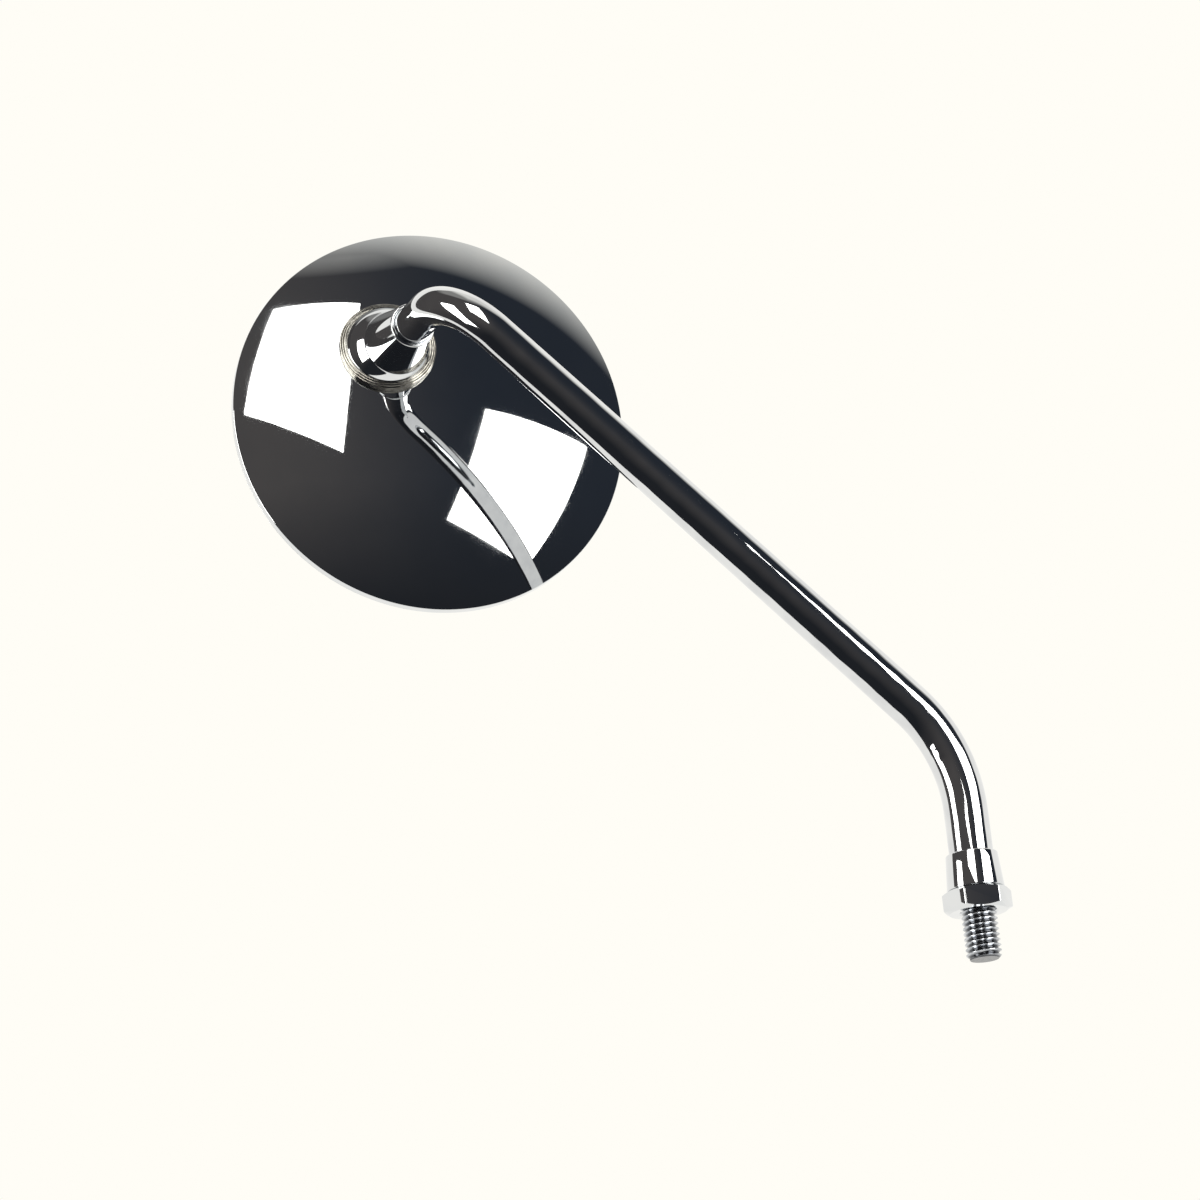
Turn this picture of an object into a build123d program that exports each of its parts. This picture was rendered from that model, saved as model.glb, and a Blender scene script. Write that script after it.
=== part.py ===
from build123d import *
import math
import os

# Round handlebar mirror on a bent stem, in millimetres.
# Z points up along the stud and the glass faces +Y.
# The origin is on the stud's axis, at the top of its free thread and just under the lock nut.

# Lower end of the stem
stud_radius = 5.0
stud_length = 13.2
stud_chamfer = 1.0
relief_depth = 0.4
relief_width = 0.6
shank_radius = 4.65
shank_top = 23.0
nut_width = 17.0
nut_height = 6.2
nut_lift = 0.1
nut_gap = 0.1
nut_turn = -12.0
collar_height = 10.2
collar_radius_low = 8.1
collar_radius_high = 7.3
collar_edge = 0.5
tube_socket = 6.6

# Stem
stem_radius_low = 6.2
stem_radius_high = 5.5
stem_wall = 1.5
low_corner_height = 47.4
run_length = 191.5
run_lean = 45.0
low_bend_radius = 44.0
high_bend_radius = 20.0

# Swivel
neck_offset = (-3.6, 56.8, 4.1)
ball_radius = 13.0
ball_cut = 1.5
ball_wall = 4.5
cone_step = 3.5
lip_wall = 0.5
socket_floor = 4.5
socket_depth = 12.5
tube_gap = 0.2

# Bowl and its edge
rim_radius = 59.0
edge_height = 2.9
edge_round = 0.5
bowl_sheet = 0.8
bezel_height = 2.0
bezel_wall = 0.5
bezel_round = 0.4
bezel_lip = 6.4
boss_offset = (-14.3, 17.2)
ball_depth = 2.4

# Glass and gasket
glass_inset = 5.4
glass_thickness = 1.8
glass_curve = 1200.0
glass_edge_height = 0.9
glass_room = 1.1
gasket_lip = 0.8
gasket_web = 2.4
gasket_shoulder = 0.5
gasket_back = 0.3
gasket_pinch = 0.06

# Swivel socket and clamp
ring_bead = 1.2
ring_spigot_wall = 0.65
ring_lip_wall = 1.7
ring_top = 4.4
seat_wall = 3.0
button_waist = 2.3
button_edge = 0.9
button_foot_top = 4.7
button_bottom = 5.5
spring_inner = 1.8
spring_edge = 0.7
spring_sheet = 0.5
spring_rise = 0.55
pan_sheet = 0.6
pan_clearance = 0.5
ear_top = 1.6
ear_radius = 3.6
ear_reach = 5.8
stud_count = 3
stud_turn = 30.0
m3_radius = 1.5
m3_clearance = 0.15
stud_foot_radius = 2.4
stud_foot_height = 1.0
stud_end = 5.0
washer_radius = 2.9
washer_sheet = 0.5
m3_nut_width = 5.5
m3_nut_height = 1.8

# Fits
running_clearance = 0.05
join_clearance = 0.02

# Places worked out from the sizes above
lean = math.radians(run_lean)
low_corner = Vector(0, 0, low_corner_height)
run_way = Vector(-math.sin(lean), 0, math.cos(lean))
high_corner = low_corner + run_way * run_length
ball_centre = high_corner + Vector(*neck_offset)
neck_way = (high_corner - ball_centre).normalized()
collar_bottom = nut_lift + nut_height + nut_gap
collar_top = collar_bottom + collar_height
tube_end = collar_top - tube_socket

ball_cavity = ball_radius - ball_wall
cone_radius = ball_radius - cone_step
lip_radius = stem_radius_high + lip_wall
socket_reach = ball_cavity + socket_floor
tube_reach = socket_reach + tube_gap
lip_reach = socket_reach + socket_depth

skirt_radius = rim_radius - bowl_sheet
bezel_outer = skirt_radius - join_clearance
bezel_inner = bezel_outer - bezel_wall
bezel_opening = rim_radius - bezel_lip
glass_radius = rim_radius - glass_inset
gasket_lip_radius = glass_radius - gasket_lip
gasket_web_radius = glass_radius + gasket_web
gasket_top = glass_edge_height + glass_thickness + gasket_back

ring_radius = ball_radius + ring_bead
ring_spigot = ball_radius + ring_spigot_wall
ring_lip = ball_radius + ring_lip_wall
seat_bore = ball_cavity - seat_wall
button_shank = seat_bore - button_waist
button_foot = seat_bore - button_edge
spring_outer = button_foot + spring_edge
pan_floor = button_bottom + spring_sheet + spring_rise + running_clearance
pan_low = pan_floor + pan_sheet
pan_reach = ball_radius + pan_clearance + pan_sheet
stud_circle = ball_radius + ear_reach


def bowl_sizes():
    """Tilt of the swivel, and the bowl's radius and centre, for a bowl deep enough for the clamp pan."""
    distance = math.hypot(*boss_offset)
    glass_back = glass_edge_height + glass_thickness
    tilt = 0.0
    for _ in range(40):
        height = glass_back + glass_room + pan_reach * math.sin(math.asin(pan_low / pan_reach) + tilt)
        slope = (height - edge_height) / ball_depth
        base = (rim_radius ** 2 - distance ** 2 + edge_height ** 2 - height ** 2 + ball_depth ** 2)
        base /= 2 * ball_depth
        half = base * slope + edge_height
        rest = base ** 2 - rim_radius ** 2 - edge_height ** 2
        centre = (-half + math.sqrt(half ** 2 - (slope ** 2 - 1) * rest)) / (slope ** 2 - 1)
        sphere = base + slope * centre
        tilt = math.asin(distance / (sphere - ball_depth))
    return tilt, sphere, centre


boss_tilt, cap_sphere, cap_centre = bowl_sizes()
boss_height = cap_centre + (cap_sphere - ball_depth) * math.cos(boss_tilt)
boss_local = Vector(*boss_offset, (cap_sphere - ball_depth) * math.cos(boss_tilt)).normalized()

bowl_origin = ball_centre - Vector(boss_offset[0], -boss_height, boss_offset[1])
bowl_plane = Plane(origin=bowl_origin, x_dir=(1, 0, 0), z_dir=(0, -1, 0))
boss_way = Vector(boss_local.X, -boss_local.Z, boss_local.Y)
boss_plane = Plane(origin=ball_centre, x_dir=(1, 0, 0), z_dir=boss_way)
neck_plane = Plane(origin=ball_centre, x_dir=(1, 0, 0), z_dir=neck_way)


def turned(*edges):
    """Turn a closed outline, drawn with radius as X and height as Z, about the Z axis."""
    return revolve(make_face(edges), Axis.Z)


def path(*points):
    """Straight outline through points given as radius and height."""
    return Polyline(*[(r, 0, z) for r, z in points])


def bow(start, middle, end):
    """Arc through three points given as radius and height."""
    return ThreePointArc(*[(r, 0, z) for r, z in (start, middle, end)])


def on_sphere(radius, centre, r):
    """Height of a sphere's upper half at a distance from its axis."""
    return centre + math.sqrt(radius ** 2 - r ** 2)


def sphere_bow(radius, centre, r_start, r_end):
    """Arc on a sphere from one distance to another."""
    middle = (r_start + r_end) / 2
    return bow(*[(r, on_sphere(radius, centre, r)) for r in (r_start, middle, r_end)])


def in_dish(radius, centre, r):
    """Height of a sphere's lower half at a distance from its axis."""
    return centre - math.sqrt(radius ** 2 - r ** 2)


def dish_bow(radius, centre, r_start, r_end):
    """Arc on a sphere's lower half from one distance to another."""
    middle = (r_start + r_end) / 2
    return bow(*[(r, in_dish(radius, centre, r)) for r in (r_start, middle, r_end)])


def bent_bar(radius, edges, start, way):
    """Bar of one radius that follows joined edges from their start."""
    return sweep(Plane(origin=start, z_dir=way) * Circle(radius), Wire(edges))


def stem_bar(radius_low, radius_high, low_end, high_end):
    """The whole bent stem as a solid bar, from its lower end to its upper end."""
    low_reach = low_bend_radius * math.tan(lean / 2)
    turn = math.acos(-run_way.dot(neck_way))
    high_reach = high_bend_radius * math.tan(turn / 2)
    low_start = Vector(0, 0, low_corner_height - low_reach)
    run_start = low_corner + run_way * low_reach
    run_end = high_corner - run_way * high_reach
    neck_start = high_corner - neck_way * high_reach
    low_line = Line(low_end, low_start)
    low_arc = TangentArc(low_start, run_start, tangent=(0, 0, 1))
    high_arc = TangentArc(run_end, neck_start, tangent=run_way)
    high_line = Line(neck_start, high_end)
    low_part = bent_bar(radius_low, [low_line, low_arc], low_end, Vector(0, 0, 1))
    high_part = bent_bar(radius_high, [high_arc, high_line], run_end, run_way)
    ends = [Plane(origin=run_start, z_dir=run_way) * Circle(radius_low)]
    ends.append(Plane(origin=run_end, z_dir=run_way) * Circle(radius_high))
    return low_part + loft(ends) + high_part


def make_stem_tube():
    """Hollow stem with a bend near each end."""
    low_end = Vector(0, 0, tube_end)
    high_end = ball_centre + neck_way * tube_reach
    outside = stem_bar(stem_radius_low, stem_radius_high, low_end, high_end)
    inside = stem_bar(stem_radius_low - stem_wall, stem_radius_high - stem_wall, low_end, high_end)
    return outside - inside


def make_threaded_stud():
    """Stud at full thread diameter, with a relief inside the nut and a shank that sits in the tube."""
    tip = stud_radius - stud_chamfer
    relief = stud_radius - relief_depth
    low = -stud_length
    shoulder = tube_end - join_clearance
    return turned(path((0, low), (tip, low), (stud_radius, low + stud_chamfer), (stud_radius, 0),
                       (relief, 0), (relief, relief_width), (stud_radius, relief_width),
                       (stud_radius, shoulder), (shank_radius, shoulder), (shank_radius, shank_top),
                       (0, shank_top), (0, low)))


def make_stem_collar():
    """Tapered collar, bored for the stud below and for the tube above."""
    bore = stud_radius + join_clearance
    socket = stem_radius_low + join_clearance
    step = tube_end - join_clearance
    high = collar_radius_high
    low = collar_radius_low
    outline = path((high, collar_top - collar_edge), (low, collar_bottom + collar_edge),
                   (low - collar_edge, collar_bottom), (bore, collar_bottom), (bore, step),
                   (socket, step), (socket, collar_top), (high - collar_edge, collar_top))
    drop = collar_edge * (1 - math.sqrt(0.5))
    edge = bow((high - collar_edge, collar_top), (high - drop, collar_top - drop),
               (high, collar_top - collar_edge))
    return turned(outline, edge)


def hex_nut(width, height, bore):
    """Hexagon nut standing on its seat, with both faces chamfered to a cone."""
    corner = width / math.sqrt(3)
    slope = (corner - width / 2 * 0.95) * math.tan(math.radians(30))
    flat = width / 2 * 0.95
    body = extrude(RegularPolygon(corner, 6), height)
    cone = turned(path((0, 0), (flat, 0), (corner, slope), (corner, height - slope), (flat, height),
                       (0, height), (0, 0)))
    return (body & cone) - extrude(Circle(bore), height)


def make_lock_nut():
    """Lock nut with its seat just above the free end of the stud."""
    nut = hex_nut(nut_width, nut_height, stud_radius + running_clearance)
    return Pos(0, 0, nut_lift) * Rot(0, 0, nut_turn) * nut


def make_swivel_ball():
    """Half ball with a hollow for the inner cup, a conical neck and a bore for the tube."""
    cone_start = math.sqrt(ball_radius ** 2 - cone_radius ** 2)
    cut_radius = math.sqrt(ball_radius ** 2 - ball_cut ** 2)
    hollow_radius = math.sqrt(ball_cavity ** 2 - ball_cut ** 2)
    bore = stem_radius_high + join_clearance
    middle = (ball_radius * math.cos(math.radians(18)), ball_radius * math.sin(math.radians(18)))
    hollow = (ball_cavity * math.cos(math.radians(35)), ball_cavity * math.sin(math.radians(35)))
    ball = bow((cut_radius, -ball_cut), middle, (cone_radius, cone_start))
    neck = path((cone_radius, cone_start), (lip_radius, lip_reach), (bore, lip_reach), (bore, socket_reach),
                (0, socket_reach), (0, ball_cavity))
    cup = bow((0, ball_cavity), hollow, (hollow_radius, -ball_cut))
    foot = path((hollow_radius, -ball_cut), (cut_radius, -ball_cut))
    return neck_plane * turned(ball, neck, cup, foot)


def make_bowl():
    """Shallow dish with a short skirt turned down at its edge and the swivel hole off centre."""
    inner = cap_sphere - bowl_sheet
    seam = bezel_wall + join_clearance
    round_radius = rim_radius - edge_round
    round_height = on_sphere(cap_sphere - edge_round, cap_centre, round_radius)
    round_end = round_radius * cap_sphere / (cap_sphere - edge_round)
    half_turn = math.acos(round_end / cap_sphere) / 2
    outside = sphere_bow(cap_sphere, cap_centre, 0, round_end)
    edge = bow((round_end, on_sphere(cap_sphere, cap_centre, round_end)),
               (round_radius + edge_round * math.cos(half_turn),
                round_height + edge_round * math.sin(half_turn)),
               (rim_radius, round_height))
    skirt = path((rim_radius, round_height), (rim_radius, seam), (skirt_radius, seam),
                 (skirt_radius, on_sphere(inner, cap_centre, skirt_radius)))
    inside = sphere_bow(inner, cap_centre, skirt_radius, 0)
    middle = path((0, cap_centre + inner), (0, cap_centre + cap_sphere))
    shell = bowl_plane * turned(outside, edge, skirt, inside, middle)
    hole = boss_plane * Cylinder(ring_spigot + join_clearance, 4 * ball_radius)
    return shell - hole


def make_rim_bezel():
    """Thin ring pressed into the bowl's skirt, with a lip over the gasket in front."""
    r = rim_radius
    drop = bezel_round * (1 - math.sqrt(0.5))
    front = bow((r - bezel_round, 0), (r - drop, drop), (r, bezel_round))
    ring = path((r, bezel_round), (r, bezel_wall), (bezel_outer, bezel_wall), (bezel_outer, bezel_height),
                (bezel_inner, bezel_height), (bezel_inner, bezel_wall), (bezel_opening, bezel_wall),
                (bezel_opening, 0), (r - bezel_round, 0))
    return bowl_plane * turned(front, ring)


def make_mirror_glass():
    """Slightly convex round glass, bulging toward the rider."""
    r = glass_radius
    inner = glass_curve - glass_thickness
    centre = glass_edge_height + math.sqrt(glass_curve ** 2 - r ** 2)
    face = dish_bow(glass_curve, centre, 0, r)
    back = dish_bow(inner, centre, r, 0)
    rim = path((r, glass_edge_height), (r, in_dish(inner, centre, r)))
    middle = path((0, centre - inner), (0, centre - glass_curve))
    return bowl_plane * turned(face, rim, back, middle)


def make_glass_gasket():
    """Rubber ring with a channel for the edge of the glass, held in the bezel."""
    low = bezel_wall + join_clearance
    inside = glass_radius + join_clearance
    outer = bezel_inner - join_clearance
    glass_low = glass_edge_height - gasket_pinch
    glass_high = glass_edge_height + glass_thickness + join_clearance
    return bowl_plane * turned(
        path((gasket_lip_radius, low), (outer, low), (outer, bezel_height),
             (gasket_web_radius, bezel_height),
             (inside + gasket_shoulder, gasket_top), (gasket_lip_radius, gasket_top),
             (gasket_lip_radius, glass_high), (inside, glass_high), (inside, glass_low),
             (gasket_lip_radius, glass_low), (gasket_lip_radius, low)))


def make_socket_ring():
    """Bead ring that holds the ball from outside and grips the edge of the bowl's hole."""
    seat = ball_radius + running_clearance
    inner = cap_sphere - bowl_sheet
    centre = ball_depth - cap_sphere
    under_bead = on_sphere(cap_sphere, centre, ring_spigot) + join_clearance
    lip_top = on_sphere(inner, centre, ring_lip) - join_clearance
    spigot_low = on_sphere(inner, centre, ring_spigot) - join_clearance
    top_radius = math.sqrt(seat ** 2 - (ring_top - 0.1) ** 2)
    foot = math.radians(-2)
    mouth = math.radians(8)
    seat_foot = (seat * math.cos(foot), seat * math.sin(foot))
    seat_mouth = (seat * math.cos(mouth), seat * math.sin(mouth))
    seat_bow = bow(seat_foot, seat_mouth, (top_radius, ring_top - 0.1))
    crown = path((top_radius, ring_top - 0.1), (top_radius + 0.3, ring_top))
    bead = bow((top_radius + 0.3, ring_top), (ring_radius - 0.45, ring_top - 0.6),
               (ring_radius, ring_top - 1.7))
    hold = path((ring_radius, ring_top - 1.7), (ring_radius, under_bead), (ring_spigot, under_bead),
                (ring_spigot, spigot_low), (ring_lip, lip_top), (ring_lip, 0), seat_foot)
    return boss_plane * turned(seat_bow, crown, bead, hold)


def make_inner_seat():
    """Nylon cup between the hollow of the ball and the button."""
    outer = ball_cavity - running_clearance
    half = math.sqrt(0.5)
    dome = bow((0, outer), (outer * half, outer * half), (outer, 0))
    hollow = bow((seat_bore, 0), (seat_bore * half, seat_bore * half), (0, seat_bore))
    foot = path((outer, 0), (seat_bore, 0))
    middle = path((0, seat_bore), (0, outer))
    return boss_plane * turned(dome, foot, hollow, middle)


def make_pressure_button():
    """Round-headed button whose foot rests on the spring."""
    head = seat_bore - running_clearance
    neck = -math.sqrt(head ** 2 - button_shank ** 2)
    dome = bow((0, head), (head, 0), (button_shank, neck))
    foot = path((button_shank, neck), (button_shank, -button_foot_top), (button_foot, -button_foot_top),
                (button_foot, -button_bottom), (0, -button_bottom), (0, head))
    return boss_plane * turned(dome, foot)


def make_friction_spring():
    """Coned disc spring between the button and the floor of the pan."""
    top = -button_bottom - running_clearance
    low = -pan_floor + join_clearance
    return boss_plane * turned(
        path((spring_inner, top - spring_sheet), (spring_outer, low),
             (spring_outer, low + spring_sheet * 0.8), (spring_inner, top),
             (spring_inner, top - spring_sheet)))


def stud_places():
    """Places of the three studs round the swivel."""
    turns = [stud_turn + 360 * k / stud_count for k in range(stud_count)]
    return [Rot(0, 0, turn) * Pos(stud_circle, 0, 0) for turn in turns]


def make_clamp_pan():
    """Pressed pan with a spherical wall round the ball and three ears for the studs."""
    inner = ball_radius + pan_clearance
    outer = inner + pan_sheet
    low = pan_floor + pan_sheet
    ear_low = ear_top + pan_sheet
    in_low = math.sqrt(inner ** 2 - pan_floor ** 2)
    in_high = math.sqrt(inner ** 2 - ear_top ** 2)
    out_low = math.sqrt(outer ** 2 - low ** 2)
    out_high = math.sqrt(outer ** 2 - ear_top ** 2)
    middle = (pan_floor + ear_top) / 2
    wall_in = bow((in_low, -pan_floor), (math.sqrt(inner ** 2 - middle ** 2), -middle), (in_high, -ear_top))
    wall_out = bow((out_high, -ear_top), (math.sqrt(outer ** 2 - middle ** 2), -middle), (out_low, -low))
    rim = path((in_high, -ear_top), (out_high, -ear_top))
    floor = path((out_low, -low), (0, -low), (0, -pan_floor), (in_low, -pan_floor))
    pan = turned(wall_in, rim, wall_out, floor)
    room = Sphere((inner + outer) / 2)
    for place in stud_places():
        outline = Circle(ear_radius) + Pos(-stud_circle / 2, 0) * Rectangle(stud_circle, 2 * ear_radius)
        ear = place * Pos(0, 0, -ear_low) * extrude(outline, pan_sheet)
        pan += ear - room
    for place in stud_places():
        pan -= place * Cylinder(m3_radius + m3_clearance, 30)
    return boss_plane * pan


def make_weld_studs():
    """Three small studs, each with a foot that meets the inside of the bowl."""
    inner = cap_sphere - bowl_sheet
    room = Pos(0, 0, ball_depth - cap_sphere) * Sphere(inner - join_clearance)
    foot_top = on_sphere(inner, ball_depth - cap_sphere, stud_circle)
    studs = []
    for place in stud_places():
        bar = place * Pos(0, 0, -stud_end) * extrude(Circle(m3_radius), stud_end + foot_top + 1)
        foot = place * Pos(0, 0, foot_top - stud_foot_height) * extrude(Circle(stud_foot_radius), 3)
        studs.append(boss_plane * ((bar + foot) & room))
    return Compound(children=studs)


def make_pan_washers():
    """Three washers under the ears of the pan."""
    top = ear_top + pan_sheet + join_clearance
    ring = Circle(washer_radius) - Circle(m3_radius + m3_clearance)
    washer = Pos(0, 0, -top - washer_sheet) * extrude(ring, washer_sheet)
    return Compound(children=[boss_plane * place * washer for place in stud_places()])


def make_pan_nuts():
    """Three small nuts that pull the pan toward the bowl."""
    top = ear_top + pan_sheet + washer_sheet + 2 * join_clearance
    nut = Pos(0, 0, -top - m3_nut_height) * hex_nut(m3_nut_width, m3_nut_height, m3_radius + join_clearance)
    return Compound(children=[boss_plane * place * nut for place in stud_places()])


def main():
    """Build every piece and write one file for each."""
    os.makedirs("parts", exist_ok=True)
    makers = {
        "stem_tube": make_stem_tube,
        "threaded_stud": make_threaded_stud,
        "stem_collar": make_stem_collar,
        "lock_nut": make_lock_nut,
        "swivel_ball": make_swivel_ball,
        "bowl": make_bowl,
        "rim_bezel": make_rim_bezel,
        "mirror_glass": make_mirror_glass,
        "glass_gasket": make_glass_gasket,
        "socket_ring": make_socket_ring,
        "inner_seat": make_inner_seat,
        "pressure_button": make_pressure_button,
        "friction_spring": make_friction_spring,
        "clamp_pan": make_clamp_pan,
        "weld_studs": make_weld_studs,
        "pan_washers": make_pan_washers,
        "pan_nuts": make_pan_nuts,
    }
    for name, maker in makers.items():
        piece = maker()
        piece.label = name
        export_step(piece, f"parts/{name}.step")
        box = piece.bounding_box()
        print(name, round(piece.volume, 1), [round(v, 1) for v in (*box.min, *box.max)])


main()
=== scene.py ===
"""Round chrome handlebar mirror on a bent stem: the looks of every piece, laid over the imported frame."""

from __future__ import annotations

import logging
import math
from dataclasses import dataclass, replace
from enum import Enum

import bmesh
import bpy
from mathutils import Matrix, Vector

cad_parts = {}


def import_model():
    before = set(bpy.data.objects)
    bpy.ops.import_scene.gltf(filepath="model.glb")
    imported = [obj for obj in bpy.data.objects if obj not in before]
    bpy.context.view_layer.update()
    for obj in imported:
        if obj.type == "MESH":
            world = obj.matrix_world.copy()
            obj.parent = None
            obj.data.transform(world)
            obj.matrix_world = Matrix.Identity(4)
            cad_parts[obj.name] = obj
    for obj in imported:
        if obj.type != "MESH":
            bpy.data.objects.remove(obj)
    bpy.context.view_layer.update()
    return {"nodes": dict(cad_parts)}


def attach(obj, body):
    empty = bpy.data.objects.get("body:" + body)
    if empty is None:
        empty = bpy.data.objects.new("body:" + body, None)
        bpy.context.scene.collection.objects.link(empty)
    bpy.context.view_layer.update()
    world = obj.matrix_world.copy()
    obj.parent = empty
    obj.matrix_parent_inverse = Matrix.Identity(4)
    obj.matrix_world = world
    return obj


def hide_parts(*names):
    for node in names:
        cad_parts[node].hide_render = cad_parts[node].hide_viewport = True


log = logging.getLogger("mirror")

MM = 0.001
UP = Vector((0.0, 0.0, 1.0))
# Millimetres between two faces where one piece sits in another.
SEAM = 0.02
# Millimetres within which a point counts as lying on a round face.
ON_FACE = 0.02
# Metres under which points are merged, thread points are welded and edges count as gone.
MERGE = 1e-7
WELD = 1e-6
SLIVER = 1e-8
# Where a cloud of a finish starts and is full, as shares of the noise, and how fine its edge is.
CLOUD_START = 0.4
CLOUD_FULL = 0.65
CLOUD_DETAIL = 3.0
# Rings per metre in a wave texture of scale 1.
WAVE_RINGS = 20 / (2 * math.pi)
# Colour sockets of Blender's Mix node.
MIX_A, MIX_B, MIX_RESULT = 6, 7, 2

Point = tuple[float, float]
Corner = tuple[float, float, float]


class Body(Enum):
    """Moving bodies that the new pieces ride on."""

    STEM = "stem"
    NUT = "lock_nut"
    HEAD = "head"


class Slot(Enum):
    """Material slots of the record."""

    CHROME = "chrome"
    ZINC = "zinc_steel"
    SPRING = "spring_steel"
    MIRROR = "silvered_glass"
    RUBBER = "black_rubber"
    NYLON = "nylon"
    BRASS = "brass"


def linear(code: str) -> tuple[float, float, float, float]:
    """Turn an sRGB hex colour into linear values.

    Args:
        code: six hex digits.

    Returns:
        Red, green, blue and full alpha.
    """
    shares = [int(code[i : i + 2], 16) / 255 for i in (0, 2, 4)]
    red, green, blue = [s / 12.92 if s <= 0.04045 else ((s + 0.055) / 1.055) ** 2.4 for s in shares]
    return red, green, blue, 1.0


def add_node(tree: bpy.types.NodeTree, kind: str, values: dict | None = None,
             links: dict | None = None, **settings: object) -> bpy.types.Node:
    """Add one node with its settings, input values and links.

    Args:
        tree: node tree that takes the node.
        kind: Blender's name of the node type.
        values: input socket to constant value.
        links: input socket to the output that feeds it.
        settings: attributes of the node itself.

    Returns:
        The new node.
    """
    node = tree.nodes.new(kind)
    for name, value in settings.items():
        setattr(node, name, value)
    for name, value in (values or {}).items():
        node.inputs[name].default_value = value
    for name, output in (links or {}).items():
        tree.links.new(output, node.inputs[name])
    return node


@dataclass(frozen=True)
class Place:
    """Where a turned piece stands and which way its axis points, in millimetres."""

    origin: Vector
    way: Vector

    def matrix(self) -> Matrix:
        """Matrix from the piece's own axes to the row frame, in metres."""
        turn = self.way.to_track_quat("Z", "Y").to_matrix().to_4x4()
        return Matrix.Translation(self.origin * MM) @ turn


class Pattern(Enum):
    """Ways that fine relief is laid out on a surface."""

    UNEVEN = "uneven"
    TURNED = "turned"


@dataclass(frozen=True)
class Mottle:
    """Cloudy drift from a finish's own colour and roughness to these, with its size in millimetres."""

    size: float
    colour: str
    roughness: float


@dataclass(frozen=True)
class Relief:
    """Fine relief, with its spacing and depth in millimetres."""

    pattern: Pattern
    spacing: float
    depth: float


@dataclass(frozen=True)
class RootShade:
    """Painted shade in the thread's roots: darker colour near the stud's axis, with the radii in millimetres
    where it is full and ends.
    """

    colour: str
    full: float
    gone: float


@dataclass(frozen=True)
class Finish:
    """One real surface finish, with the axis that its piece was turned on where that shows."""

    name: str
    slot: Slot
    colour: str
    metallic: float
    roughness: float
    mottle: Mottle
    relief: Relief | None = None
    # Painted shade in the thread's roots, where the finish has it.
    root_shade: RootShade | None = None
    ior: float = 1.5
    coat: float = 0.0
    axis: Place | None = None

    def material(self) -> bpy.types.Material:
        """Make the material, or return it if it is there already."""
        made = bpy.data.materials.get(self.name)
        if made is not None:
            return made
        made = bpy.data.materials.new(self.name)
        made.use_nodes = True
        tree = made.node_tree
        shader = tree.nodes["Principled BSDF"]
        shader.inputs["Metallic"].default_value = self.metallic
        shader.inputs["IOR"].default_value = self.ior
        shader.inputs["Coat Weight"].default_value = self.coat
        place = add_node(tree, "ShaderNodeTexCoord").outputs["Object"]
        cloud = add_node(tree, "ShaderNodeTexNoise",
                         {"Scale": 1 / (self.mottle.size * MM), "Detail": CLOUD_DETAIL},
                         {"Vector": place}).outputs["Fac"]
        span = {"From Min": CLOUD_START, "From Max": CLOUD_FULL}
        share = add_node(tree, "ShaderNodeMapRange", span, {"Value": cloud})
        levels = {"To Min": self.roughness, "To Max": self.mottle.roughness}
        rough = add_node(tree, "ShaderNodeMapRange", span | levels, {"Value": cloud})
        colour = add_node(tree, "ShaderNodeMix",
                          {MIX_A: linear(self.colour), MIX_B: linear(self.mottle.colour)},
                          {"Factor": share.outputs["Result"]}, data_type="RGBA").outputs[MIX_RESULT]
        # Painted shade: darker colour toward the stud's axis, in the thread's roots.
        if self.root_shade is not None:
            colour = self.paint_root_shade(tree, place, colour)
        tree.links.new(colour, shader.inputs["Base Color"])
        tree.links.new(rough.outputs["Result"], shader.inputs["Roughness"])
        if self.relief is not None:
            tree.links.new(self.rough_up(tree, place), shader.inputs["Normal"])
        return made

    def paint_root_shade(self, tree: bpy.types.NodeTree, place: bpy.types.NodeSocket,
               colour: bpy.types.NodeSocket) -> bpy.types.NodeSocket:
        """Darken the colour toward the stud's axis, as painted shade in the thread's roots.

        Args:
            tree: node tree of the material.
            place: Object coordinates.
            colour: colour on the crests.

        Returns:
            The darkened colour.
        """
        flat = add_node(tree, "ShaderNodeVectorMath", {1: (1.0, 1.0, 0.0)}, {0: place}, operation="MULTIPLY")
        reach = add_node(tree, "ShaderNodeVectorMath", None, {0: flat.outputs["Vector"]}, operation="LENGTH")
        share = add_node(tree, "ShaderNodeMapRange",
                         {"From Min": self.root_shade.full * MM, "From Max": self.root_shade.gone * MM},
                         {"Value": reach.outputs["Value"]})
        mixed = add_node(tree, "ShaderNodeMix", {MIX_A: linear(self.root_shade.colour)},
                         {"Factor": share.outputs["Result"], MIX_B: colour}, data_type="RGBA")
        return mixed.outputs[MIX_RESULT]

    def rough_up(self, tree: bpy.types.NodeTree, place: bpy.types.NodeSocket) -> bpy.types.NodeSocket:
        """Add the fine relief as a bump.

        Args:
            tree: node tree of the material.
            place: Object coordinates.

        Returns:
            The bumped normal.
        """
        spacing = self.relief.spacing * MM
        if self.relief.pattern is Pattern.TURNED and self.axis is not None:
            turn = self.axis.matrix()
            own = add_node(tree, "ShaderNodeMapping",
                           {"Location": turn.translation, "Rotation": turn.to_euler()},
                           {"Vector": place}, vector_type="TEXTURE")
            height = add_node(tree, "ShaderNodeTexWave", {"Scale": 1 / (WAVE_RINGS * spacing)},
                              {"Vector": own.outputs["Vector"]}, wave_type="RINGS",
                              rings_direction="Z").outputs["Fac"]
        else:
            height = add_node(tree, "ShaderNodeTexNoise", {"Scale": 1 / spacing, "Detail": 1.0},
                              {"Vector": place}).outputs["Fac"]
        bump = add_node(tree, "ShaderNodeBump", {"Strength": 1.0, "Distance": self.relief.depth * MM},
                        {"Height": height})
        return bump.outputs["Normal"]


# Bright chrome over polished steel: a clear dark mirror with a cool tint and a breath of haze where wiped.
CHROME = Finish("polished_chrome_plate", Slot.CHROME, "D9DBDD", 1.0, 0.02, Mottle(14.0, "D3D6D9", 0.045))
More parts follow.
